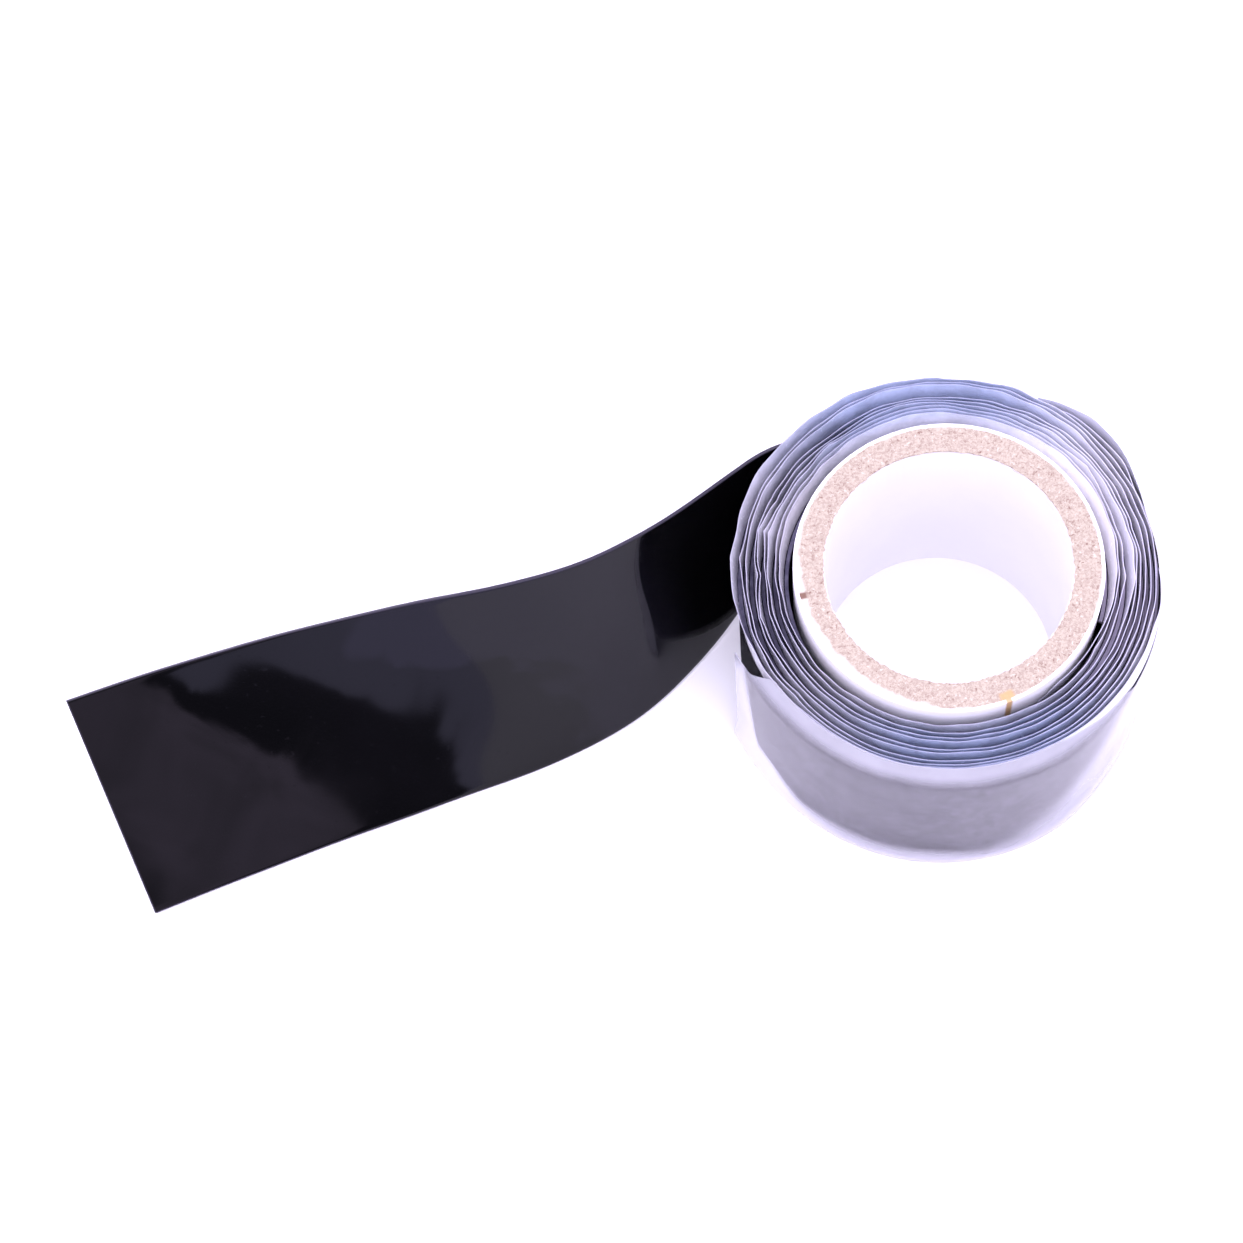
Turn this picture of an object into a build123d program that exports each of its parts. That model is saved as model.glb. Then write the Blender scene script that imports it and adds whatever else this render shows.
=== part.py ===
from build123d import *
import math
import os

os.makedirs("parts", exist_ok=True)

# A small roll of self-fusing tape, standing on one end with its free end laid out on the table.
# Millimetres, +Z up. The origin is the centre of the core's lower end, and +Z is the core's axis.
# Angles are counted from +X, counter-clockwise seen from above, and the tape winds outwards that way.

# Paperboard core: three glued plies with a standard 1 inch bore
bore_radius = 12.7
inner_paper_radius = 12.9
board_radius = 15.55
outer_paper_radius = 15.9
core_height = 28.8
paper_seam_angle = 284.0
paper_seam_gap = 0.3
paper_seam_depth = 1.0

# Winding: tape and release film wound together on to the core
winding_radius = 16.0
winding_pitch = 0.60
tape_thickness = 0.46
film_thickness = 0.08
layer_gap = 0.03
winding_start_angle = 335.0
tape_wound_angle = 3391.0
film_wound_angle = 3320.0
tape_bottom = 1.0
tape_wound_width = 24.0
film_bottom = 0.2
film_width = 28.0

# Film stripped off the outer turn: it folds back over the roll and is laid round its front
tail_fold_height = 0.42
tail_bottom = 0.1
tail_hinge_angle = 240.0
flap_radius = 25.0
flap_length = 19.3
flap_gap = 0.1

# Free end of the tape: leaves the roll upright, then twists and leans back on its lower edge
strip_width = 25.4
strip_length = 85.2
strip_hug_length = 5.6
strip_curve_end = 47.3
strip_end_heading = 192.0
strip_late_curve = 0.076
strip_twist = 57.0
strip_twist_power = 0.75
strip_settle_length = 30.0
strip_bend_at = 48.0
strip_cut_gap = 0.3
strip_step = 0.25
strip_root_sections = 9
strip_tip_sections = 6


def polar(radius, angle):
    """Point at a radius and an angle in degrees about the core's axis."""
    return Vector(radius * math.cos(math.radians(angle)), radius * math.sin(math.radians(angle)))


def smooth(value):
    """Ease from 0 to 1 with no slope at either end."""
    value = min(max(value, 0.0), 1.0)
    return value * value * (3.0 - 2.0 * value)


def spiral_arcs(start_radius, total_angle):
    """Half-turn arcs (centre, radius, start angle, sweep) of a spiral that grows by one pitch a turn."""
    arcs = []
    half_turn = 0
    turned = 0.0
    while turned < total_angle:
        side = -1 if half_turn % 2 == 0 else 1
        centre = polar(side * winding_pitch / 4, winding_start_angle)
        radius = start_radius + winding_pitch / 4 + half_turn * winding_pitch / 2
        sweep = min(180.0, total_angle - turned)
        arcs.append((centre, radius, winding_start_angle + turned, sweep))
        turned += sweep
        half_turn += 1
    return arcs


def spiral_end(start_radius, total_angle):
    """Point where such a spiral stops."""
    centre, radius, start, sweep = spiral_arcs(start_radius, total_angle)[-1]
    return centre + polar(radius, start + sweep)


def draw_spiral_band(start_radius, thickness, total_angle):
    """Draw the closed outline of one wound layer in the current line builder."""
    for edge_radius in (start_radius, start_radius + thickness):
        for centre, radius, start, sweep in spiral_arcs(edge_radius, total_angle):
            CenterArc(centre, radius, start, sweep)
    Line(polar(start_radius, winding_start_angle), polar(start_radius + thickness, winding_start_angle))
    Line(spiral_end(start_radius, total_angle), spiral_end(start_radius + thickness, total_angle))


def strip_heading(distance):
    """Direction in degrees in which the free strip runs, at a distance from the peel line."""
    hug_turn = math.degrees(strip_hug_length / strip_root_radius)
    if distance < strip_hug_length:
        return strip_root_angle + 90.0 + math.degrees(distance / strip_root_radius)
    first = strip_root_angle + 90.0 + hug_turn
    eased = smooth((distance - strip_hug_length) / (strip_curve_end - strip_hug_length))
    late = max(0.0, distance - strip_curve_end) * strip_late_curve
    return first + (strip_end_heading - first) * eased + late


def strip_section(distance):
    """Plane across the free strip: origin on the lower edge, x towards the upper edge."""
    x, y = strip_root.X, strip_root.Y
    steps = max(1, round(distance / strip_step))
    step = distance / steps
    for index in range(steps):
        heading = math.radians(strip_heading((index + 0.5) * step))
        x += step * math.cos(heading)
        y += step * math.sin(heading)
    heading = math.radians(strip_heading(distance))
    lean = math.radians(90.0 - strip_twist * (distance / strip_length) ** strip_twist_power)
    height = tape_thickness / 2 * math.cos(lean) + tape_bottom * (1.0 - smooth(distance / strip_settle_length))
    across = Vector(math.cos(lean) * math.sin(heading), -math.cos(lean) * math.cos(heading), math.sin(lean))
    along = Vector(math.cos(heading), math.sin(heading), 0.0)
    return Plane(origin=Vector(x, y, height), x_dir=across, z_dir=along)


def strip_stations(start, end, count):
    """Evenly spaced distances along the free strip, each with the strip's width there."""
    for index in range(count):
        distance = start + (end - start) * index / (count - 1)
        widen = smooth(distance / strip_settle_length)
        yield distance, tape_wound_width + (strip_width - tape_wound_width) * widen


# Where the free strip starts: the middle of the tape's thickness at the end of the last turn
strip_root = spiral_end(winding_radius + tape_thickness / 2, tape_wound_angle)
strip_root_radius = strip_root.length
strip_root_angle = math.degrees(math.atan2(strip_root.Y, strip_root.X))

# White paper glued inside the board
with BuildPart() as core_inner_paper:
    with BuildSketch():
        Circle(inner_paper_radius)
        Circle(bore_radius, mode=Mode.SUBTRACT)
    extrude(amount=core_height)

# Grey-pink paperboard tube that carries the load
with BuildPart() as core_board:
    with BuildSketch():
        Circle(board_radius)
        Circle(inner_paper_radius, mode=Mode.SUBTRACT)
    extrude(amount=core_height)

# White paper wrapped round the board, with a narrow open seam
with BuildPart() as core_outer_paper:
    with BuildSketch():
        Circle(outer_paper_radius)
        Circle(board_radius, mode=Mode.SUBTRACT)
        seam_centre = polar((board_radius + outer_paper_radius) / 2, paper_seam_angle)
        with Locations(Location(seam_centre, (0, 0, 1), paper_seam_angle)):
            Rectangle(paper_seam_depth, paper_seam_gap, mode=Mode.SUBTRACT)
    extrude(amount=core_height)

# Wound part of the tape, from its inner end to the peel line
with BuildPart() as tape_wound:
    with BuildSketch(Plane.XY.offset(tape_bottom)):
        with BuildLine():
            draw_spiral_band(winding_radius, tape_thickness, tape_wound_angle)
        make_face()
    extrude(amount=tape_wound_width)

# Release film wound between the turns of tape, wider than the tape at both edges
film_radius = winding_radius + tape_thickness + layer_gap
with BuildPart() as film_wound:
    with BuildSketch(Plane.XY.offset(film_bottom)):
        with BuildLine():
            draw_spiral_band(film_radius, film_thickness, film_wound_angle)
        make_face()
    extrude(amount=film_width)

# Film stripped off the outer turn: a tight fold, then a loose layer round the right side and front
fold_start = spiral_end(film_radius + film_thickness / 2, film_wound_angle)
fold_angle = math.degrees(math.atan2(fold_start.Y, fold_start.X))
fold_radius = tail_fold_height / 2
fold_centre = polar(fold_start.length + fold_radius, fold_angle)
tail_radius = fold_start.length + tail_fold_height
tail_sweep = tail_hinge_angle - 360.0 - fold_angle
half_film = film_thickness / 2
with BuildPart() as film_tail:
    with BuildSketch(Plane.XY.offset(tail_bottom)):
        with BuildLine():
            CenterArc(fold_centre, fold_radius + half_film, fold_angle + 180.0, -180.0)
            CenterArc((0, 0), tail_radius + half_film, fold_angle, tail_sweep)
            Line(
                polar(tail_radius + half_film, tail_hinge_angle),
                polar(tail_radius - half_film, tail_hinge_angle),
            )
            CenterArc((0, 0), tail_radius - half_film, fold_angle, tail_sweep)
            CenterArc(fold_centre, fold_radius - half_film, fold_angle + 180.0, -180.0)
            Line(
                polar(fold_start.length + half_film, fold_angle),
                polar(fold_start.length - half_film, fold_angle),
            )
        make_face()
    extrude(amount=film_width)

# Last stretch of the loose film, which flares away from the roll
flap_centre = polar(tail_radius - flap_radius, tail_hinge_angle)
flap_first = tail_hinge_angle - math.degrees(flap_gap / flap_radius)
flap_last = tail_hinge_angle - math.degrees(flap_length / flap_radius)
with BuildPart() as film_flap:
    with BuildSketch(Plane.XY.offset(tail_bottom)):
        with BuildLine():
            for edge_radius in (flap_radius - half_film, flap_radius + half_film):
                CenterArc(flap_centre, edge_radius, flap_first, flap_last - flap_first)
            for edge_angle in (flap_first, flap_last):
                Line(
                    flap_centre + polar(flap_radius - half_film, edge_angle),
                    flap_centre + polar(flap_radius + half_film, edge_angle),
                )
        make_face()
    extrude(amount=film_width)

# Free end of the tape in two lengths: from the peel line to the bend, and from the bend to the cut end
half_cut = strip_cut_gap / 2
with BuildPart() as tape_free_root:
    for distance, width in strip_stations(strip_cut_gap, strip_bend_at - half_cut, strip_root_sections):
        with BuildSketch(strip_section(distance)):
            Rectangle(width, tape_thickness, align=(Align.MIN, Align.CENTER))
    loft()

with BuildPart() as tape_free_tip:
    for distance, width in strip_stations(strip_bend_at + half_cut, strip_length, strip_tip_sections):
        with BuildSketch(strip_section(distance)):
            Rectangle(width, tape_thickness, align=(Align.MIN, Align.CENTER))
    loft()

nodes = {
    "core_inner_paper": core_inner_paper,
    "core_board": core_board,
    "core_outer_paper": core_outer_paper,
    "tape_wound": tape_wound,
    "film_wound": film_wound,
    "film_tail": film_tail,
    "film_flap": film_flap,
    "tape_free_root": tape_free_root,
    "tape_free_tip": tape_free_tip,
}
for label, node in nodes.items():
    node.part.label = label
    export_step(node.part, f"parts/{label}.step")
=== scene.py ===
import math

import bmesh
import bpy
import numpy as np
from mathutils import Matrix, Vector


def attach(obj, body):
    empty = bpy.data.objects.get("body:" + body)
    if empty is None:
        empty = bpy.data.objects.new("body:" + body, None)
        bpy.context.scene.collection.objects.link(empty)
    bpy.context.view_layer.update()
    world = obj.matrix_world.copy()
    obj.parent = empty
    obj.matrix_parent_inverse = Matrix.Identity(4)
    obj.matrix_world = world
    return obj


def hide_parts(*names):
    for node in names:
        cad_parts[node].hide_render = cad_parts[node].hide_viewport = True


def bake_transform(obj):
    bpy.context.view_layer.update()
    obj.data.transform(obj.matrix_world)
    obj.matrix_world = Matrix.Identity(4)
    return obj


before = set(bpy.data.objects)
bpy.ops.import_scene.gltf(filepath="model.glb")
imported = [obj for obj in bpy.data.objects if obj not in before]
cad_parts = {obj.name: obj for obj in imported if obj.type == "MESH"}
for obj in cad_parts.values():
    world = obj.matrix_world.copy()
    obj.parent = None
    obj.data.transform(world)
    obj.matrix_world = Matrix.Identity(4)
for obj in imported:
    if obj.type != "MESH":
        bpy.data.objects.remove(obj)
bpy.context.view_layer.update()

# A small roll of black self-fusing tape on a paperboard core. Lengths are millimetres until a mesh is made.
MM = 0.001
DEGREES = 180.0 / math.pi
BORE_RADIUS = 12.7
INNER_PAPER_RADIUS = 12.9
BOARD_RADIUS = 15.55
OUTER_PAPER_RADIUS = 15.9
CORE_HEIGHT = 28.8
LINING_DROP = 0.35
WRAP_RISE = 0.05

# Winding, as in the CAD: it starts at START_ANGLE and grows by PITCH a turn, counter-clockwise from above
WINDING_RADIUS = 16.0
PITCH = 0.60
TAPE_THICKNESS = 0.46
FILM_THICKNESS = 0.08
LAYER_GAP = 0.03
START_ANGLE = 335.0
TAPE_TURNED = 3391.0
FILM_TURNED = 3320.0

# In Blender the film's inner end is tucked in by this angle before the tape starts
FILM_TUCK = 40.0
TAPE_LOW = 1.0
TAPE_HIGH = 25.0
FILM_LOW = 0.2
FILM_HIGH = 28.1

# Free strip, as in the CAD
STRIP_WIDTH = 25.4
STRIP_LENGTH = 85.2
STRIP_HUG = 5.6
STRIP_CURVE_END = 47.3
STRIP_END_HEADING = 192.0
STRIP_LATE_CURVE = 0.076
STRIP_TWIST = 57.0
STRIP_TWIST_POWER = 0.75
STRIP_SETTLE = 30.0
STRIP_BEND = 48.0

# Where the strip's two meshes meet
STRIP_CUT = 38.0


# ---------------------------------------------------------------- small helpers

def smooth(value, low=0.0, high=1.0):
    """Ease from 0 at low to 1 at high."""
    t = np.clip((np.asarray(value, float) - low) / (high - low), 0.0, 1.0)
    return t * t * (3.0 - 2.0 * t)


def ripple(angle, turn, seed, waves, drift=0.6):
    """A smooth wavy value of about -1 to 1 round the roll, which changes slowly from turn to turn."""
    random = np.random.default_rng(seed)
    total = np.zeros(np.broadcast(angle, turn).shape)
    for wave in waves:
        phase = random.uniform(0.0, 2.0 * math.pi)
        shift = random.normal(0.0, drift)
        total = total + np.cos(np.radians(angle) * wave + phase + shift * turn)
    return total / math.sqrt(len(waves))


def turn_between(angle, centre):
    """Signed angle from centre to angle, in degrees, from -180 to 180."""
    return (np.asarray(angle, float) - centre + 180.0) % 360.0 - 180.0


def new_mesh(name, points, faces, sharp_degrees=50.0):
    """A smooth-shaded mesh object from millimetre points, with sharp edges past an angle."""
    mesh = bpy.data.meshes.new(name)
    mesh.from_pydata((np.asarray(points).reshape(-1, 3) * MM).tolist(), [], faces)
    work = bmesh.new()
    work.from_mesh(mesh)
    bmesh.ops.recalc_face_normals(work, faces=work.faces)
    work.to_mesh(mesh)
    work.free()
    mesh.shade_smooth()
    mesh.set_sharp_from_angle(angle=math.radians(sharp_degrees))
    piece = bpy.data.objects.new(name, mesh)
    bpy.context.scene.collection.objects.link(piece)
    return piece


def skin_faces(rings, around):
    """Quads of a closed skin through rings of points, the last one joined to the first."""
    here = np.arange(rings - 1)[:, None] * around
    step = np.arange(around)[None, :]
    after = (step + 1) % around
    quads = np.stack([here + step, here + after, here + around + after, here + around + step], axis=-1)
    return quads.reshape(-1, 4).tolist()


def band(name, outer, inner, sharp_degrees=50.0):
    """A thin closed band between two grids of points (along, up, 3), as a strip of tape or film is."""
    rows = outer.shape[1]
    rings = np.concatenate([outer, inner[:, ::-1]], axis=1)
    faces = skin_faces(len(rings), 2 * rows)
    last = (len(rings) - 1) * 2 * rows
    for row in range(rows - 1):
        cap = [row, row + 1, 2 * rows - 2 - row, 2 * rows - 1 - row]
        faces.append(cap)
        faces.append([last + corner for corner in cap])
    return new_mesh(name, rings, faces, sharp_degrees)


def cylinder_points(radius, angle, height):
    """Points at radii, angles in degrees and heights, any of which may be a grid."""
    radius, angle, height = np.broadcast_arrays(radius, np.radians(angle), height)
    return np.stack([radius * np.cos(angle), radius * np.sin(angle), height], axis=-1)


# ---------------------------------------------------------------- materials

SEAM_FACING = 13.0
NICK_FACING = -86.0
WIDE_RING_FACING = -62.0
SEAM_TAN = (0.56, 0.36, 0.16, 1.0)


def node(tree, kind, inputs=None, **settings):
    """A shader node; an input that is another node's output is linked, and any other is set."""
    made = tree.nodes.new(kind)
    for key, value in settings.items():
        setattr(made, key, value)
    for key, value in (inputs or {}).items():
        if isinstance(value, bpy.types.NodeSocket):
            tree.links.new(value, made.inputs[key])
        else:
            made.inputs[key].default_value = value
    return made


def new_material(name):
    material = bpy.data.materials.new(name)
    material.use_nodes = True
    tree = material.node_tree
    tree.nodes.clear()
    output = tree.nodes.new("ShaderNodeOutputMaterial")
    place = node(tree, "ShaderNodeTexCoord").outputs["Object"]
    return material, tree, output, place


def noise(tree, place, scale, detail=3.0, roughness=0.55, distortion=0.0):
    made = node(tree, "ShaderNodeTexNoise", {
        "Vector": place, "Scale": scale, "Detail": detail, "Roughness": roughness, "Distortion": distortion,
    })
    return made.outputs["Fac"]


def spread(tree, value, low, high, to_low=0.0, to_high=1.0, kind="SMOOTHSTEP"):
    """Map a value from low..high to to_low..to_high, easing at both ends unless kind is LINEAR."""
    made = node(tree, "ShaderNodeMapRange", {
        "Value": value, "From Min": low, "From Max": high, "To Min": to_low, "To Max": to_high,
    }, interpolation_type=kind)
    return made.outputs["Result"]


def mixed(tree, factor, first, second):
    """Colour between first, at 0, and second, at 1."""
    made = node(tree, "ShaderNodeMix", data_type="RGBA")
    sockets = {"Factor": factor, "A": first, "B": second}
    for socket in made.inputs:
        if socket.enabled and socket.name in sockets:
            value = sockets[socket.name]
            if isinstance(value, bpy.types.NodeSocket):
                tree.links.new(value, socket)
            else:
                socket.default_value = value
    return next(socket for socket in made.outputs if socket.enabled)


def math_node(tree, operation, first, second=0.0):
    made = node(tree, "ShaderNodeMath", {0: first, 1: second}, operation=operation)
    return made.outputs["Value"]


def plus(tree, first, second):
    return math_node(tree, "ADD", first, second)


def minus(tree, first, second):
    return math_node(tree, "SUBTRACT", first, second)


def times(tree, first, second):
    return math_node(tree, "MULTIPLY", first, second)


def larger(tree, first, second):
    return math_node(tree, "MAXIMUM", first, second)


def away_from(tree, value, centre):
    """Distance of a value from a centre, without its sign."""
    return math_node(tree, "ABSOLUTE", minus(tree, value, centre))


def bump(tree, height, strength, distance):
    made = node(tree, "ShaderNodeBump", {"Height": height, "Strength": strength, "Distance": distance})
    return made.outputs["Normal"]


def principled(tree, output, **inputs):
    names = {key.replace("_", " "): value for key, value in inputs.items()}
    made = node(tree, "ShaderNodeBsdfPrincipled", names)
    tree.links.new(made.outputs["BSDF"], output.inputs["Surface"])
    return made


def position_parts(tree, place):
    """Millimetre height, radius, and degrees from the front of the roll (positive to the right)."""
    parts = node(tree, "ShaderNodeSeparateXYZ", {"Vector": place}).outputs
    x = times(tree, parts["X"], 1.0 / MM)
    y = times(tree, parts["Y"], 1.0 / MM)
    height = times(tree, parts["Z"], 1.0 / MM)
    radius = math_node(tree, "SQRT", plus(tree, times(tree, x, x), times(tree, y, y)))
    facing = math_node(tree, "ARCTAN2", x, times(tree, y, -1.0))
    return height, radius, times(tree, facing, DEGREES)


def board_material():
    """Raw speckled board, going over to white plies near its outside, with a tan seam and a dark nick."""
    pale = (0.50, 0.43, 0.315, 1.0)
    middle = (0.40, 0.32, 0.235, 1.0)
    brown = (0.21, 0.12, 0.08, 1.0)
    cream = (0.62, 0.57, 0.44, 1.0)
    white = (0.60, 0.57, 0.45, 1.0)
    material, tree, output, place = new_material("raw_paperboard")
    _, radius, facing = position_parts(tree, place)
    fibres = noise(tree, place, 1500.0, 4.0, 0.7, 1.2)
    specks = noise(tree, place, 2600.0, 3.0, 0.65, 0.4)
    patches = noise(tree, place, 380.0, 2.0)
    grains = noise(tree, place, 3600.0, 2.0, 0.6, 0.8)
    colour = mixed(tree, spread(tree, grains, 0.40, 0.60), pale, middle)
    colour = mixed(tree, spread(tree, fibres, 0.54, 0.70, 0.0, 0.8), colour, brown)
    colour = mixed(tree, spread(tree, specks, 0.58, 0.70), colour, cream)
    colour = mixed(tree, spread(tree, specks, 0.40, 0.28), colour, brown)

    # White plies: their inner limit is ragged, and further in on one side of the roll
    wider = spread(tree, away_from(tree, facing, WIDE_RING_FACING), 70.0, 10.0, 0.0, 0.75)
    ragged = times(tree, minus(tree, patches, 0.5), 1.2)
    outside = plus(tree, plus(tree, radius, wider), ragged)
    colour = mixed(tree, spread(tree, outside, 15.4, 15.8), colour, white)

    by_seam = spread(tree, away_from(tree, facing, SEAM_FACING), 3.6, 1.8)
    torn = times(tree, by_seam, spread(tree, outside, 14.5, 14.9))
    colour = mixed(tree, torn, colour, SEAM_TAN)
    by_nick = spread(tree, away_from(tree, facing, NICK_FACING), 1.9, 0.8)
    nick = times(tree, by_nick, spread(tree, radius, 14.6, 15.0))
    colour = mixed(tree, nick, colour, brown)
    relief = plus(tree, fibres, times(tree, specks, 0.6))
    principled(tree, output, Base_Color=colour, Roughness=spread(tree, fibres, 0.3, 0.7, 0.95, 0.8),
               Normal=bump(tree, relief, 0.9, 0.00015))
    return material


def paper_material(name, colour, seam_facing=None):
    """Matt white paper; where its open seam faces, in degrees from the front, the board shows through."""
    material, tree, output, place = new_material(name)
    fibres = noise(tree, place, 900.0, 5.0, 0.65)
    cloud = noise(tree, place, 90.0, 2.0)
    shade = tuple(0.97 * part for part in colour[:3]) + (1.0,)
    base = mixed(tree, spread(tree, cloud, 0.3, 0.7), colour, shade)
    if seam_facing is not None:
        facing = position_parts(tree, place)[2]
        beside = away_from(tree, facing, seam_facing)
        base = mixed(tree, spread(tree, beside, 1.7, 0.7), base, SEAM_TAN)
    principled(tree, output, Base_Color=base, Roughness=spread(tree, fibres, 0.3, 0.7, 0.5, 0.68),
               Normal=bump(tree, fibres, 0.25, 0.00006))
    return material


def wound_tape_material():
    """The same silicone under film: the film takes its gloss, and dust with painted light greys its cut
    edges, paler on the right side of the roll.
    """
    black = (0.0016, 0.0015, 0.0020, 1.0)
    edge_dust_and_light_dark = (0.110, 0.105, 0.150, 1.0)
    edge_dust_and_light_pale = (0.190, 0.180, 0.240, 1.0)
    painted_light_right = (0.46, 0.42, 0.50, 1.0)
    plain_black_radius = 21.75
    material, tree, output, place = new_material("wound_silicone")
    height, radius, facing = position_parts(tree, place)
    cloud = noise(tree, place, 900.0, 3.0)
    # Dust and painted light: the top edges inside the outermost turn go bluish grey instead of black
    dust_and_light_share = spread(tree, height, TAPE_HIGH - 0.8, TAPE_HIGH - 0.45, 0.0, 0.85)
    dust_and_light_share = times(tree, dust_and_light_share, spread(tree, radius, plain_black_radius, plain_black_radius - 0.2))
    dust = mixed(tree, spread(tree, cloud, 0.3, 0.7), edge_dust_and_light_dark, edge_dust_and_light_pale)
    # Painted light: towards the right side of the roll the edge grey turns much paler
    dust = mixed(tree, spread(tree, away_from(tree, facing, 85.0), 75.0, 30.0), dust, painted_light_right)
    colour = mixed(tree, dust_and_light_share, black, dust)
    made = principled(tree, output, Base_Color=colour, Roughness=spread(tree, cloud, 0.3, 0.7, 0.45, 0.6),
                      Normal=bump(tree, cloud, 0.1, 0.00002))
    made.inputs["Specular IOR Level"].default_value = 0.0
    return material


def tape_material():
    """Glossy black silicone, with a faint painted reflection on part of the free strip and painted
    highlights on its cut edges.
    """
    black = (0.0009, 0.0009, 0.0011, 1.0)
    worn = (0.0016, 0.0015, 0.0019, 1.0)
    painted_reflection_tint = (0.0052, 0.0049, 0.0070, 1.0)
    edge_highlight_tint = (0.090, 0.080, 0.105, 1.0)
    edge_highlight_share = 0.45
    edge_highlight_width = 0.22
    material, tree, output, place = new_material("black_silicone")
    strip = node(tree, "ShaderNodeAttribute", attribute_name="strip_place").outputs["Vector"]
    spot = node(tree, "ShaderNodeSeparateXYZ", {"Vector": strip}).outputs
    along, across = spot["X"], spot["Y"]

    # The painted reflection starts near the roll and ends in a wavy line, further out towards the strip's
    # upper edge
    waves = minus(tree, noise(tree, strip, 0.11, 2.0, 0.5, 1.2), 0.5)
    painted_reflection_end = plus(tree, times(tree, spread(tree, across, 12.0, 23.0), 22.0), 33.0)
    reach = plus(tree, minus(tree, along, painted_reflection_end), times(tree, waves, 22.0))
    painted_reflection = times(tree, spread(tree, reach, 3.5, -1.0), spread(tree, along, 16.0, 24.0))

    cloud = noise(tree, place, 60.0, 3.0)
    grain = noise(tree, place, 5000.0, 2.0)
    dust = noise(tree, place, 1500.0, 1.0)
    colour = mixed(tree, spread(tree, cloud, 0.35, 0.7), black, worn)
    rough = spread(tree, cloud, 0.3, 0.7, 0.045, 0.085)
    rough = plus(tree, rough, spread(tree, dust, 0.68, 0.78, 0.0, 0.1))
    # Painted reflection: the black is lightened a little, towards lavender, inside the wavy line
    colour = mixed(tree, painted_reflection, colour, painted_reflection_tint)
    # Painted highlight: a pale lavender grey along the strip's long edges and its far end
    half = STRIP_WIDTH / 2
    side_highlight = spread(tree, away_from(tree, across, half), half - edge_highlight_width, half - 0.05, 0.0, edge_highlight_share)
    end_highlight = spread(tree, along, STRIP_LENGTH - edge_highlight_width, STRIP_LENGTH, 0.0, edge_highlight_share)
    colour = mixed(tree, larger(tree, side_highlight, end_highlight), colour, edge_highlight_tint)
    made = principled(tree, output, Base_Color=colour, Roughness=rough,
                      Normal=bump(tree, grain, 0.04, 0.00001))
    made.inputs["IOR"].default_value = 1.29
    return material


def film_shader(tree, output, haze, tint, mirror, gloss_roughness, relief, gloss=None):
    """Clear film: mirror-like by Fresnel, and between its reflections part haze and part see-through."""
    haze_body = node(tree, "ShaderNodeBsdfPrincipled", {
        "Base Color": tint, "Roughness": 0.6, "Normal": relief,
    })
    haze_body.inputs["Specular IOR Level"].default_value = 0.0
    clear = node(tree, "ShaderNodeBsdfTransparent")
    body = node(tree, "ShaderNodeMixShader", {0: haze, 1: clear.outputs[0], 2: haze_body.outputs[0]})
    shine = node(tree, "ShaderNodeBsdfPrincipled", {
        "Base Color": mirror, "Metallic": 1.0, "Roughness": gloss_roughness, "Normal": relief,
    })
    fresnel = node(tree, "ShaderNodeFresnel", {"IOR": 1.40}).outputs["Fac"]
    if gloss is not None:
        fresnel = times(tree, fresnel, gloss)
    both = node(tree, "ShaderNodeMixShader", {0: fresnel, 1: body.outputs[0], 2: shine.outputs[0]})
    tree.links.new(both.outputs[0], output.inputs["Surface"])


def wound_film_material():
    """Film between the turns: nearly clear on the tape, hazy and glossy where its margin stands free."""
    blue = (0.64, 0.74, 0.93, 1.0)
    pale = (0.84, 0.82, 0.82, 1.0)
    top_face_shade = (0.34, 0.32, 0.42, 1.0)
    mirror = (0.85, 0.85, 0.90, 1.0)
    on_tape_haze = 0.01
    on_tape_gloss = 0.02
    material, tree, output, place = new_material("clear_film")
    height, radius, facing = position_parts(tree, place)
    streaks = noise(tree, place, 500.0, 3.0, 0.6, 0.4)
    creases = noise(tree, place, 1100.0, 3.0, 0.6, 0.8)
    free = spread(tree, height, TAPE_HIGH - 0.3, TAPE_HIGH + 0.3)
    rim = spread(tree, height, TAPE_HIGH + 0.6, FILM_HIGH)
    haze = plus(tree, spread(tree, streaks, 0.3, 0.7, 0.40, 0.54), times(tree, rim, 0.16))
    haze = plus(tree, haze, spread(tree, away_from(tree, facing, 90.0), 80.0, 30.0, 0.0, 0.42))
    haze = plus(tree, haze, spread(tree, away_from(tree, facing, -90.0), 60.0, 20.0, 0.0, 0.10))
    haze = times(tree, haze, spread(tree, free, 0.0, 1.0, on_tape_haze, 1.0))

    # Bluer at the front and back of the roll, paler at its sides and near the core
    side = math_node(tree, "ABSOLUTE", math_node(tree, "SINE", times(tree, facing, 1.0 / DEGREES)))
    tint = mixed(tree, spread(tree, side, 0.25, 0.95, 0.12, 0.9), blue, pale)
    tint = mixed(tree, spread(tree, radius, 17.9, 17.2, 0.0, 0.6), tint, pale)
    # Painted shade: faces turned upwards, as the film's top edges are, go lavender grey and their gloss is
    # halved
    normal = node(tree, "ShaderNodeNewGeometry").outputs["Normal"]
    facing_up = node(tree, "ShaderNodeSeparateXYZ", {"Vector": normal}).outputs["Z"]
    tint = mixed(tree, spread(tree, facing_up, 0.55, 0.9, 0.0, 0.6), tint, top_face_shade)
    gloss = spread(tree, free, 0.0, 1.0, on_tape_gloss, 1.0)
    gloss = times(tree, gloss, spread(tree, facing_up, 0.55, 0.9, 1.0, 0.5))
    gloss_roughness = spread(tree, creases, 0.3, 0.7, 0.14, 0.28)
    film_shader(tree, output, haze, tint, mirror, gloss_roughness, bump(tree, creases, 0.2, 0.00003), gloss)
    return material


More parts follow.
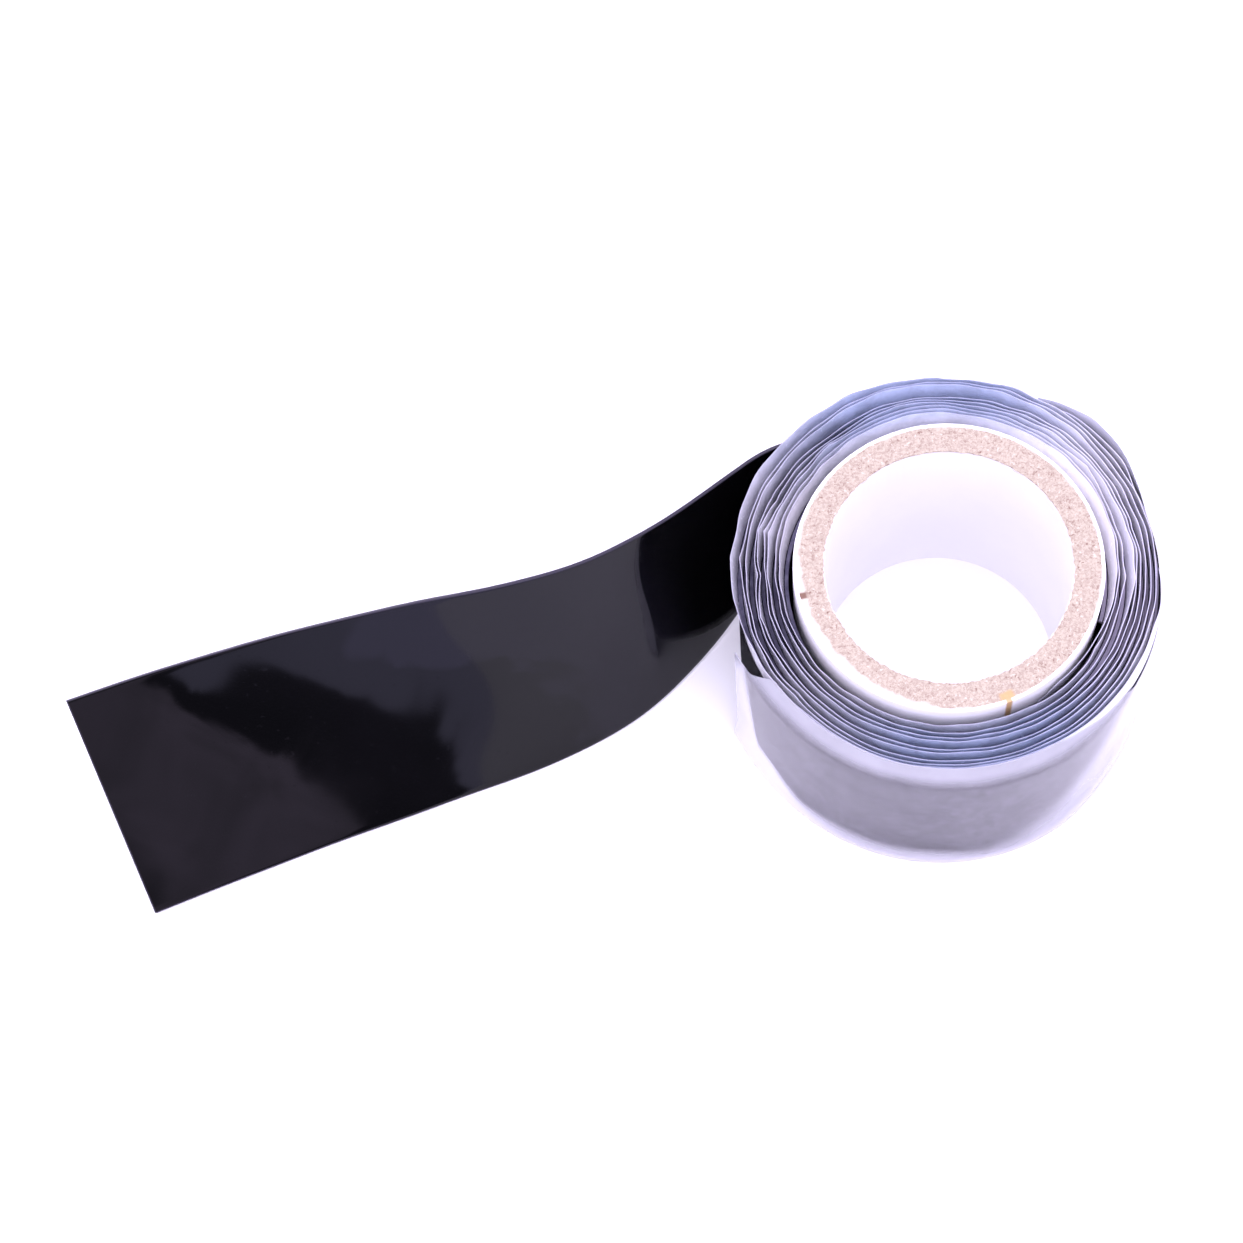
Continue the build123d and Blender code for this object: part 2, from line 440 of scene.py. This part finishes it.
def loose_film_material():
    """Stripped film: it looks grey over the black tape, and paler low down, above the tape and on the right,
    where its haze is raised.
    """
    pale = (0.88, 0.88, 0.92, 1.0)
    mirror = (0.84, 0.82, 0.90, 1.0)
    material, tree, output, place = new_material("frosted_film")
    height, _, facing = position_parts(tree, place)
    streaks = noise(tree, place, 160.0, 3.0, 0.6, 0.4)
    creases = noise(tree, place, 700.0, 3.0, 0.6, 0.8)
    above = spread(tree, height, TAPE_HIGH - 1.2, TAPE_HIGH + 1.8, 0.0, 0.34)

    # Height in mm below which the film is hazier and paler, and how softly the haze fades in
    right = math_node(tree, "DIVIDE", larger(tree, facing, 0.0), 41.0)
    right = times(tree, math_node(tree, "POWER", right, 1.6), 17.6)
    left = spread(tree, facing, -67.0, -75.0, 0.0, 24.0)
    left = plus(tree, left, spread(tree, facing, -48.0, -66.0, 0.0, 3.5))
    haze_line = plus(tree, plus(tree, right, left), spread(tree, facing, 12.0, -12.0, 2.4, 3.6))
    right_softness = spread(tree, facing, -5.0, 25.0, 1.0, 4.0)
    left_softness = spread(tree, facing, -67.0, -74.0, 0.0, 6.0)
    softness = plus(tree, right_softness, left_softness)
    edge = math_node(tree, "DIVIDE", minus(tree, haze_line, height), softness)
    low_haze = times(tree, spread(tree, edge, -1.0, 2.0), spread(tree, facing, -35.0, -62.0, 0.36, 0.66))

    haze = larger(tree, above, low_haze)
    behind = times(tree, spread(tree, facing, 95.0, 115.0), spread(tree, height, 24.0, 26.0))
    haze = larger(tree, haze, spread(tree, facing, 70.0, 105.0, 0.0, 0.62))
    haze = larger(tree, haze, spread(tree, behind, 0.0, 1.0, 0.0, 0.88))
    haze = plus(tree, haze, spread(tree, streaks, 0.3, 0.7, 0.035, 0.075))
    gloss_roughness = spread(tree, creases, 0.3, 0.7, 0.12, 0.18)
    film_shader(tree, output, haze, pale, mirror, gloss_roughness, bump(tree, streaks, 0.1, 0.00005))
    return material


def finish(piece, material, body, slot, *replaced):
    """Give a piece its material and, unless body is None, its body, and hide the CAD nodes it stands for;
    slot is not used.
    """
    piece.data.materials.clear()
    piece.data.materials.append(material)
    if body is not None:
        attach(piece, body)
    if replaced:
        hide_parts(*replaced)


def blend_along(piece, direction):
    """Bake a piece's placing into its mesh; direction is not used."""
    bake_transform(piece)


# ---------------------------------------------------------------- core

def tube(name, inner, outer, low, high, across, rough, seed, lip=0.0):
    """An upright paper or board tube, its upper end broken up a little; lip narrows its upper inner edge."""
    around = 720
    wall = 6
    edge_gap = 0.4
    angle = np.linspace(0.0, 360.0, around, endpoint=False)
    share = np.linspace(0.0, 1.0, across)
    fine = ripple(angle, 0.0, seed, (37, 53, 71, 97, 131), 0.0)
    coarse = ripple(angle, 0.0, seed + 1, (5, 9, 14, 23), 0.0)
    edge = rough * (0.6 * fine + 0.4 * coarse)
    loops = []
    radii = inner + (outer - inner) * share
    for index, radius in enumerate(radii):
        wobble = edge - lip if index == 0 else 0.3 * edge
        ragged = 0.3 * rough * np.roll(fine, 17 * index)
        loops.append(cylinder_points(radius + wobble, angle, high + ragged))
    for level in np.linspace(high - edge_gap, low + edge_gap, wall):
        loops.append(cylinder_points(outer, angle, level))
    for radius in radii[::-1]:
        loops.append(cylinder_points(radius, angle, low))
    for level in np.linspace(low + edge_gap, high - edge_gap, wall):
        loops.append(cylinder_points(inner, angle, level))
    grid = np.stack(loops, axis=0)
    here = np.arange(len(grid))[:, None] * around
    beyond = (np.arange(len(grid))[:, None] + 1) % len(grid) * around
    step = np.arange(around)[None, :]
    after = (step + 1) % around
    quads = np.stack([here + step, here + after, beyond + after, beyond + step], axis=-1)
    return new_mesh(name, grid, quads.reshape(-1, 4).tolist(), 40.0)


def make_core():
    lining_white = (0.89, 0.885, 0.885, 1.0)
    wrap_white = (0.94, 0.93, 0.90, 1.0)
    inner = tube("paper_lining", BORE_RADIUS, INNER_PAPER_RADIUS, 0.0, CORE_HEIGHT - LINING_DROP,
                 across=3, rough=0.05, seed=3)
    finish(inner, paper_material("white_lining", lining_white), "roll", "white_paper", "core_inner_paper")
    board = tube("paperboard_tube", INNER_PAPER_RADIUS, BOARD_RADIUS, 0.0, CORE_HEIGHT,
                 across=14, rough=0.09, seed=5, lip=0.12)
    finish(board, board_material(), "roll", "paperboard", "core_board")
    outer = tube("paper_wrap", BOARD_RADIUS, OUTER_PAPER_RADIUS, 0.0, CORE_HEIGHT + WRAP_RISE,
                 across=4, rough=0.04, seed=8)
    wrap = paper_material("white_wrap", wrap_white, SEAM_FACING)
    finish(outer, wrap, "roll", "white_paper", "core_outer_paper")


# ---------------------------------------------------------------- winding

def layer_radius(turned):
    """Inner radius of the tape after it has turned through an angle from its start."""
    return WINDING_RADIUS + PITCH * np.asarray(turned, float) / 360.0


def tape_top(angle, turn):
    """Height of the tape's upper edge, which wanders a little from turn to turn."""
    return TAPE_HIGH + 0.25 * ripple(angle, turn, 21, (1, 2, 3, 5), 0.4)


def make_wound_tape(material):
    step = 1.5
    turned = np.arange(0.0, TAPE_TURNED + 0.1, step)
    turned[-1] = TAPE_TURNED
    turn = turned / 360.0
    angle = START_ANGLE + turned
    high = tape_top(angle, turn)
    low = np.full_like(high, TAPE_LOW)
    share = np.array([0.0, 0.03, 0.5, 0.97, 1.0])
    height = low[:, None] + (high - low)[:, None] * share
    radius = layer_radius(turned)[:, None]
    edge = np.array([0.05, 0.0, 0.0, 0.0, 0.05])
    outer = cylinder_points(radius + TAPE_THICKNESS - edge, angle[:, None], height)
    inner = cylinder_points(radius + edge, angle[:, None], height)
    piece = band("wound_tape", outer, inner)
    finish(piece, material, "roll", "black_silicone", "tape_wound")


# How far the film's top margin leans out in mm, turn by turn from the innermost, on four sides of the roll
MARGIN_LEAN = {
    90.0: (1.00, 0.74, 0.48, 0.22, -0.03, -0.28, 0.70, 0.32, 0.10),
    0.0: (0.60, 0.20, 0.00, 0.45, 0.20, 0.00, -0.10, -0.20, -0.30),
    270.0: (-0.15, 0.10, 0.00, -0.20, 0.12, -0.15, 0.10, -0.12, -0.40),
    180.0: (0.30, 0.10, 0.30, 0.00, 0.25, -0.05, 0.20, -0.10, 0.40),
}
# The same for the last turn, by angle up to where the film ends
LAST_TURN_LEAN = (
    (55.0, 0.30), (81.0, 0.05), (105.0, 0.50), (140.0, 0.75), (160.0, 0.45), (180.0, 0.50), (189.0, 0.10),
    (200.0, -0.05), (212.0, -0.30), (240.0, -0.45), (300.0, -0.35), (360.0, -0.30), (415.0, -0.20),
)
# Pointed folds in the margins: angle, turn, turns either side, lean at the point, half width in degrees
MARGIN_FOLDS = (
    (30.0, 2.1, 1.2, 0.45, 5.0),
    (97.0, 3.5, 1.6, 0.35, 5.0),
    (122.0, 2.6, 1.8, 0.45, 6.0),
    (148.0, 4.4, 2.0, -0.40, 4.0),
    (159.0, 3.6, 2.8, 0.55, 4.0),
    (168.0, 7.9, 1.0, 0.50, 4.0),
    (173.0, 5.0, 2.2, -0.50, 4.0),
    (187.0, 4.8, 2.0, 0.35, 4.0),
    (213.0, 7.2, 1.6, -0.30, 4.0),
    (348.0, 2.6, 1.6, 0.35, 5.0),
    (5.0, 5.0, 1.6, -0.30, 5.0),
    (321.0, 1.0, 1.0, -0.25, 5.0),
)


def rim_lean(angle, turn):
    """How far a film's top edge leans out (positive) or in, in millimetres."""
    total = np.zeros_like(angle)
    for side, lean in MARGIN_LEAN.items():
        weight = np.maximum(np.cos(np.radians(angle - side)), 0.0) ** 2
        first_pass = ((side - START_ANGLE) % 360.0) / 360.0
        total = total + weight * np.interp(turn - first_pass, np.arange(len(lean)), lean)
    last_angles, last_lean = zip(*LAST_TURN_LEAN)
    last = np.interp(angle - START_ANGLE - FILM_TURNED + last_angles[-1], last_angles, last_lean)
    blend = smooth(turn, FILM_TURNED / 360.0 - 1.05, FILM_TURNED / 360.0 - 0.95)
    total = total + blend * (last - total)
    for centre, middle, reach, push, width in MARGIN_FOLDS:
        near = np.exp(-np.abs(turn_between(angle, centre)) / width)
        total = total + push * near * smooth(np.abs(turn - middle), reach, 0.0)
    calm = 0.35 + 0.65 * smooth(np.abs(turn_between(angle, 275.0)), 40.0, 75.0)
    wave = 0.14 * ripple(angle, turn, 31, (2, 3, 5, 7), 0.3)
    flutter = 0.06 * ripple(angle, turn, 33, (11, 17, 23, 31), 1.1)
    return total + calm * (wave + flutter)


def film_rim(angle, turn):
    """Height of the wound film's top edge, with a tear shortly before its end."""
    rise = 0.25 * ripple(angle, turn, 41, (2, 3, 4, 7), 0.5)
    rise = rise + 0.10 * ripple(angle, turn, 43, (13, 19, 29), 1.2)
    left = 360.0 * (FILM_TURNED / 360.0 - turn)
    end = smooth(left, 14.0, 0.0)
    torn = smooth(np.abs(left - 50.0), 20.0, 8.0)
    return FILM_HIGH - 0.3 + rise - 1.5 * end - 2.9 * torn


def make_wound_film(material):
    step = 0.8
    turned = np.arange(-FILM_TUCK, FILM_TURNED + 0.1, step)
    turn = turned / 360.0
    angle = START_ANGLE + turned
    rim = film_rim(angle, turn) - 2.0 * smooth(turned, -FILM_TUCK + 10.0, -FILM_TUCK)
    share = np.array([0.0, 0.2, 0.4, 0.6, 0.8, 1.0])
    free = TAPE_HIGH + (rim - TAPE_HIGH)[:, None] * share
    low = np.broadcast_to(np.array([FILM_LOW, TAPE_LOW, 13.0]), (len(turned), 3))
    height = np.concatenate([low, free], axis=1)
    lean = rim_lean(angle, turn)[:, None] * np.concatenate([np.zeros(3), share ** 1.3])
    tuck = 0.25 * smooth(turned, 0.0, -15.0)
    radius = (layer_radius(turned) - tuck)[:, None] + TAPE_THICKNESS + LAYER_GAP + lean
    outer = cylinder_points(radius + FILM_THICKNESS, angle[:, None], height)
    inner = cylinder_points(radius, angle[:, None], height)
    piece = band("wound_film", outer, inner)
    finish(piece, material, "roll", "release_film", "film_wound")


# ---------------------------------------------------------------- loose film round the front

TAIL_START = 55.4
TAIL_END = 191.7 - 360.0
TAIL_HINGE = 240.0
HINGE_RADIUS = 22.5
HINGE_HEADING = 160.0

# The loose film by angle, from its free end to its fold: radius, top edge and bottom edge in mm
TAIL_RADIUS = (
    (-168.3, 23.3), (-158.0, 22.85), (-145.0, 22.6), (-130.0, 22.5), (-100.0, 22.48), (-75.0, 22.45),
    (-60.0, 22.3), (-45.0, 22.1), (-30.0, 22.05), (-15.0, 22.05), (0.0, 22.1), (10.0, 22.15),
    (20.0, 22.5), (29.0, 22.9), (38.0, 22.95), (50.0, 22.7), (55.4, 22.35),
)
TAIL_HIGH = (
    (-168.3, 25.0), (-161.0, 25.3), (-157.5, 26.6), (-154.0, 28.2), (-140.0, 28.2), (-70.0, 28.1),
    (-55.0, 27.3), (-45.0, 26.0), (-40.0, 24.6), (-20.0, 23.8), (-5.0, 23.0), (8.0, 23.0),
    (16.0, 25.0), (25.0, 27.0), (40.0, 28.0), (55.4, 26.5),
)
TAIL_LOW = (
    (-168.3, 0.1), (-65.0, 0.1), (-50.0, 2.2), (-38.0, 2.4), (-22.0, 1.0), (-8.0, 0.1), (55.4, 0.1),
)


def from_table(angle, table):
    """Values between the (angle, value) rows of a table."""
    angles, values = zip(*table)
    return np.interp(angle, angles, values)


def make_tail(material):
    angle = np.arange(TAIL_START, TAIL_END, -1.0)
    angle = np.append(angle, TAIL_END)
    high = from_table(angle, TAIL_HIGH) + 0.12 * ripple(angle, 0.0, 51, (5, 9, 13), 0.0)
    low = from_table(angle, TAIL_LOW) + 0.05 * (1.0 + ripple(angle, 0.0, 53, (4, 7, 11), 0.0))
    share = np.array([0.0, 0.04, 0.1, 0.2, 0.35, 0.5, 0.7, 0.82, 0.88, 0.92, 0.96, 1.0])
    height = low[:, None] + (high - low)[:, None] * share

    # Above the tape the film leans in over it, most at the front, and at its foot it flares out
    inward = 0.85 * smooth(angle, 10.0, -30.0) + 0.15 * smooth(angle, -10.0, 30.0)
    inward = inward + 0.3 * smooth(angle, -130.0, -156.0)
    lean_in = -inward[:, None] * smooth(height, 24.6, 28.4)
    flare = 0.4 * smooth(height, 6.0, 0.0)
    radius = from_table(angle, TAIL_RADIUS)[:, None] + lean_in + flare
    outer = cylinder_points(radius + FILM_THICKNESS / 2, angle[:, None], height)
    inner = cylinder_points(radius - FILM_THICKNESS / 2, angle[:, None], height)
    piece = band("loose_film", outer, inner)
    finish(piece, material, None, "release_film")
    hinge = cylinder_points(HINGE_RADIUS, TAIL_HINGE, 0.0)
    blend_along(piece, cylinder_points(1.0, HINGE_HEADING, 0.0))
    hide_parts("film_tail", "film_flap")


# ---------------------------------------------------------------- free end of the tape

ROOT_ANGLE = START_ANGLE + TAPE_TURNED - 360.0 * round((START_ANGLE + TAPE_TURNED) / 360.0)
ROOT_RADIUS = float(layer_radius(TAPE_TURNED)) + TAPE_THICKNESS / 2


def strip_frame(distance):
    """Lower edge, across and along directions of the free strip at distances from the peel line."""
    fine = np.linspace(0.0, STRIP_LENGTH, 1705)
    start = ROOT_ANGLE + 90.0
    hug = math.degrees(STRIP_HUG / ROOT_RADIUS)
    eased = smooth(fine, STRIP_HUG, STRIP_CURVE_END)
    heading = start + hug * np.minimum(fine / STRIP_HUG, 1.0) + (STRIP_END_HEADING - start - hug) * eased
    heading = np.radians(heading + STRIP_LATE_CURVE * np.maximum(fine - STRIP_CURVE_END, 0.0))
    middle = (heading[1:] + heading[:-1]) / 2
    step = fine[1] - fine[0]
    root = cylinder_points(ROOT_RADIUS, ROOT_ANGLE, 0.0)
    x = root[0] + np.concatenate([[0.0], np.cumsum(np.cos(middle)) * step])
    y = root[1] + np.concatenate([[0.0], np.cumsum(np.sin(middle)) * step])
    turn = np.interp(distance, fine, heading)
    lean = np.radians(90.0 - STRIP_TWIST * (distance / STRIP_LENGTH) ** STRIP_TWIST_POWER)
    z = TAPE_THICKNESS / 2 * np.cos(lean) + TAPE_LOW * (1.0 - smooth(distance, 0.0, STRIP_SETTLE))
    edge = np.stack([np.interp(distance, fine, x), np.interp(distance, fine, y), z], axis=-1)
    across = np.stack([np.cos(lean) * np.sin(turn), -np.cos(lean) * np.cos(turn), np.sin(lean)], axis=-1)
    along = np.stack([np.cos(turn), np.sin(turn), np.zeros_like(turn)], axis=-1)
    return edge, across, along


def make_strip(name, start, end):
    """The free strip between two distances from the peel line, with its own places kept for its material."""
    distance = np.linspace(start, end, max(2, round((end - start) / 0.4) + 1))
    edge, across, along = strip_frame(distance)
    wound_width = TAPE_HIGH - TAPE_LOW
    width = wound_width + (STRIP_WIDTH - wound_width) * smooth(distance, 0.0, STRIP_SETTLE)
    share = np.concatenate([[0.0, 0.004], np.linspace(0.015, 0.985, 60), [0.996, 1.0]])
    thin = np.concatenate([[0.7, 0.93], np.ones(60), [0.93, 0.7]]) * TAPE_THICKNESS / 2
    s, w = distance[:, None], share[None, :] * STRIP_WIDTH
    broad = 0.06 * np.sin(s / 4.1 + w / 6.3 + 0.7) * np.sin(w / 5.2 + 1.1)
    narrow = 0.04 * np.sin(s / 2.3 - w / 4.4 + 2.0)
    wave = (broad + narrow) * smooth(s, 10.0, 22.0)
    normal = np.cross(across, along)
    middle = edge[:, None] + across[:, None] * (width[:, None] * share)[..., None]
    middle = middle + normal[:, None] * wave[..., None]
    outer = middle + normal[:, None] * thin[None, :, None]
    inner = middle - normal[:, None] * thin[None, :, None]
    piece = band(name, outer, inner, 60.0)
    spots = np.stack(np.broadcast_arrays(s, np.concatenate([w, w[:, ::-1]], axis=1), 0.0), axis=-1)
    places = piece.data.attributes.new("strip_place", "FLOAT_VECTOR", "POINT")
    places.data.foreach_set("vector", spots.ravel())
    return piece


def make_free_tape(material):
    root = make_strip("free_tape_root", 0.0, STRIP_CUT)
    finish(root, material, None, "black_silicone")
    peel, _, heading = (value[0] for value in strip_frame(np.array([0.0])))
    blend_along(root, heading)
    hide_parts("tape_free_root")
    tip = make_strip("free_tape_tip", STRIP_CUT, STRIP_LENGTH)
    finish(tip, material, None, "black_silicone")
    bend, _, heading = (value[0] for value in strip_frame(np.array([STRIP_BEND])))
    blend_along(tip, heading)
    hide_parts("tape_free_tip")


# ---------------------------------------------------------------- stage, light and camera

LIGHT_TINT = (1.0, 0.94, 1.28)
FLOOR_COLOUR = (0.93, 0.93, 0.86, 1.0)
FLOOR_DROP = 0.02


def make_floor():
    side = 1.5
    steps = 24
    line = np.linspace(-side, side, steps) / MM
    x, y = np.meshgrid(line, line, indexing="ij")
    points = np.stack([x, y, np.full_like(x, -FLOOR_DROP)], axis=-1)
    corner = (np.arange(steps - 1)[:, None] * steps + np.arange(steps - 1)[None, :]).reshape(-1)
    faces = np.stack([corner, corner + steps, corner + steps + 1, corner + 1], axis=-1).tolist()
    floor = new_mesh("pale_floor", points, faces)
    material, tree, output, _ = new_material("pale_table")
    principled(tree, output, Base_Color=FLOOR_COLOUR, Roughness=0.9)
    floor.data.materials.append(material)


# Edges of what the strip mirrors in front of the roll: compass direction and height, both in degrees
MIRROR_FROM = -125.0
MIRROR_TO = -65.0
DARK_LOW_EDGE = (
    (-125.0, 40.0), (-110.0, 31.0), (-105.0, 28.0), (-99.0, 20.0), (-94.0, 12.0), (-88.0, 6.0),
    (-79.0, 3.0), (-75.0, 0.0), (-65.0, 0.0),
)
DARK_HIGH_EDGE = (
    (-125.0, 43.0), (-113.0, 36.0), (-105.0, 31.0), (-98.0, 28.0), (-94.0, 24.0), (-89.0, 20.0),
    (-84.0, 18.0), (-75.0, 16.0), (-65.0, 15.0),
)


def tinted_light(strength):
    return tuple(strength * part for part in LIGHT_TINT) + (1.0,)


def edge_height(tree, compass, points):
    """Height in degrees of an edge drawn through (compass direction, height) points."""
    share = spread(tree, compass, MIRROR_FROM, MIRROR_TO, kind="LINEAR")
    made = node(tree, "ShaderNodeFloatCurve", {"Value": share})
    line = made.mapping.curves[0]
    while len(line.points) < len(points):
        line.points.new(0.5, 0.5)
    for point, (direction, height) in zip(line.points, points):
        point.location = ((direction - MIRROR_FROM) / (MIRROR_TO - MIRROR_FROM), height / 90.0)
    made.mapping.update()
    return times(tree, made.outputs["Value"], 90.0)


def mirrored_room(tree, direction):
    """What gloss reflects: a pale wall, a dark band over it, brown shade above, and a bright ceiling."""
    black = (0.15, 0.14, 0.19, 1.0)
    white = (1.45, 1.38, 2.10, 1.0)
    brown = (1.50, 1.25, 1.80, 1.0)
    shade = (1.05, 0.90, 1.25, 1.0)
    dim = (0.45, 0.40, 0.55, 1.0)
    parts = node(tree, "ShaderNodeSeparateXYZ", {"Vector": direction})
    height = times(tree, math_node(tree, "ARCSINE", parts.outputs["Z"]), DEGREES)
    compass = times(tree, math_node(tree, "ARCTAN2", parts.outputs["Y"], parts.outputs["X"]), DEGREES)
    low_edge = edge_height(tree, compass, DARK_LOW_EDGE)
    high_edge = edge_height(tree, compass, DARK_HIGH_EDGE)
    wobble = minus(tree, noise(tree, direction, 14.0, 3.0, 0.6), 0.5)
    uneven = plus(tree, height, times(tree, wobble, 7.0))
    above_low = spread(tree, minus(tree, uneven, low_edge), -0.8, 0.8)
    above_high = spread(tree, minus(tree, uneven, high_edge), -0.8, 1.2)
    cloud = noise(tree, direction, 6.0, 3.0, 0.6)
    front = times(tree, spread(tree, compass, -135.0, -125.0), spread(tree, compass, -50.0, -60.0))
    colour = mixed(tree, above_low, white, black)
    browned = mixed(tree, spread(tree, cloud, 0.35, 0.65), brown, shade)
    colour = mixed(tree, above_high, colour, browned)
    colour = mixed(tree, spread(tree, uneven, 40.5, 46.0), colour, dim)
    colour = mixed(tree, front, tinted_light(1.2), colour)
    return height, mixed(tree, spread(tree, height, 50.0, 62.0), colour, tinted_light(3.2))


def make_world():
    """Soft light from all round and most from above, a room for gloss to reflect, and white behind."""
    world = bpy.data.worlds.new("soft_studio")
    bpy.context.scene.world = world
    world.use_nodes = True
    tree = world.node_tree
    tree.nodes.clear()
    direction = node(tree, "ShaderNodeTexCoord").outputs["Generated"]
    height, room = mirrored_room(tree, direction)
    soft = mixed(tree, spread(tree, height, 48.0, 62.0), tinted_light(1.45), tinted_light(3.6))
    path = node(tree, "ShaderNodeLightPath").outputs
    colour = mixed(tree, path["Is Glossy Ray"], soft, room)
    studio = node(tree, "ShaderNodeBackground", {"Color": colour, "Strength": 1.0})
    backdrop = node(tree, "ShaderNodeBackground", {"Color": (1.0, 1.0, 1.0, 1.0), "Strength": 1.0})
    both = node(tree, "ShaderNodeMixShader", {
        0: path["Is Camera Ray"], 1: studio.outputs[0], 2: backdrop.outputs[0],
    })
    output = tree.nodes.new("ShaderNodeOutputWorld")
    tree.links.new(both.outputs[0], output.inputs["Surface"])


CAMERA_PLACE = (-33.88, -119.17, 330.24)
CAMERA_ELEVATION = 68.61
CAMERA_ROLL = -7.97
CAMERA_LENS = 91.95


def make_camera():
    elevation = math.radians(CAMERA_ELEVATION)
    roll = math.radians(CAMERA_ROLL)
    forward = Vector((0.0, math.cos(elevation), -math.sin(elevation)))
    right = Vector((1.0, 0.0, 0.0))
    up = right.cross(forward)
    side = math.cos(roll) * right + math.sin(roll) * up
    over = -math.sin(roll) * right + math.cos(roll) * up
    data = bpy.data.cameras.new("camera")
    data.sensor_width = 36.0
    data.lens = CAMERA_LENS
    data.clip_start = 0.01
    camera = bpy.data.objects.new("camera", data)
    bpy.context.scene.collection.objects.link(camera)
    axes = Matrix((side, over, -forward)).transposed().to_4x4()
    axes.translation = Vector(CAMERA_PLACE) * MM
    camera.matrix_world = axes
    bpy.context.scene.camera = camera


scene = bpy.context.scene
scene.view_settings.view_transform = "Standard"

# The film's many clear layers each take one transparent bounce
scene.cycles.transparent_max_bounces = 24

make_floor()
make_world()
make_camera()
make_core()
make_wound_tape(wound_tape_material())
make_free_tape(tape_material())
make_wound_film(wound_film_material())
make_tail(loose_film_material())
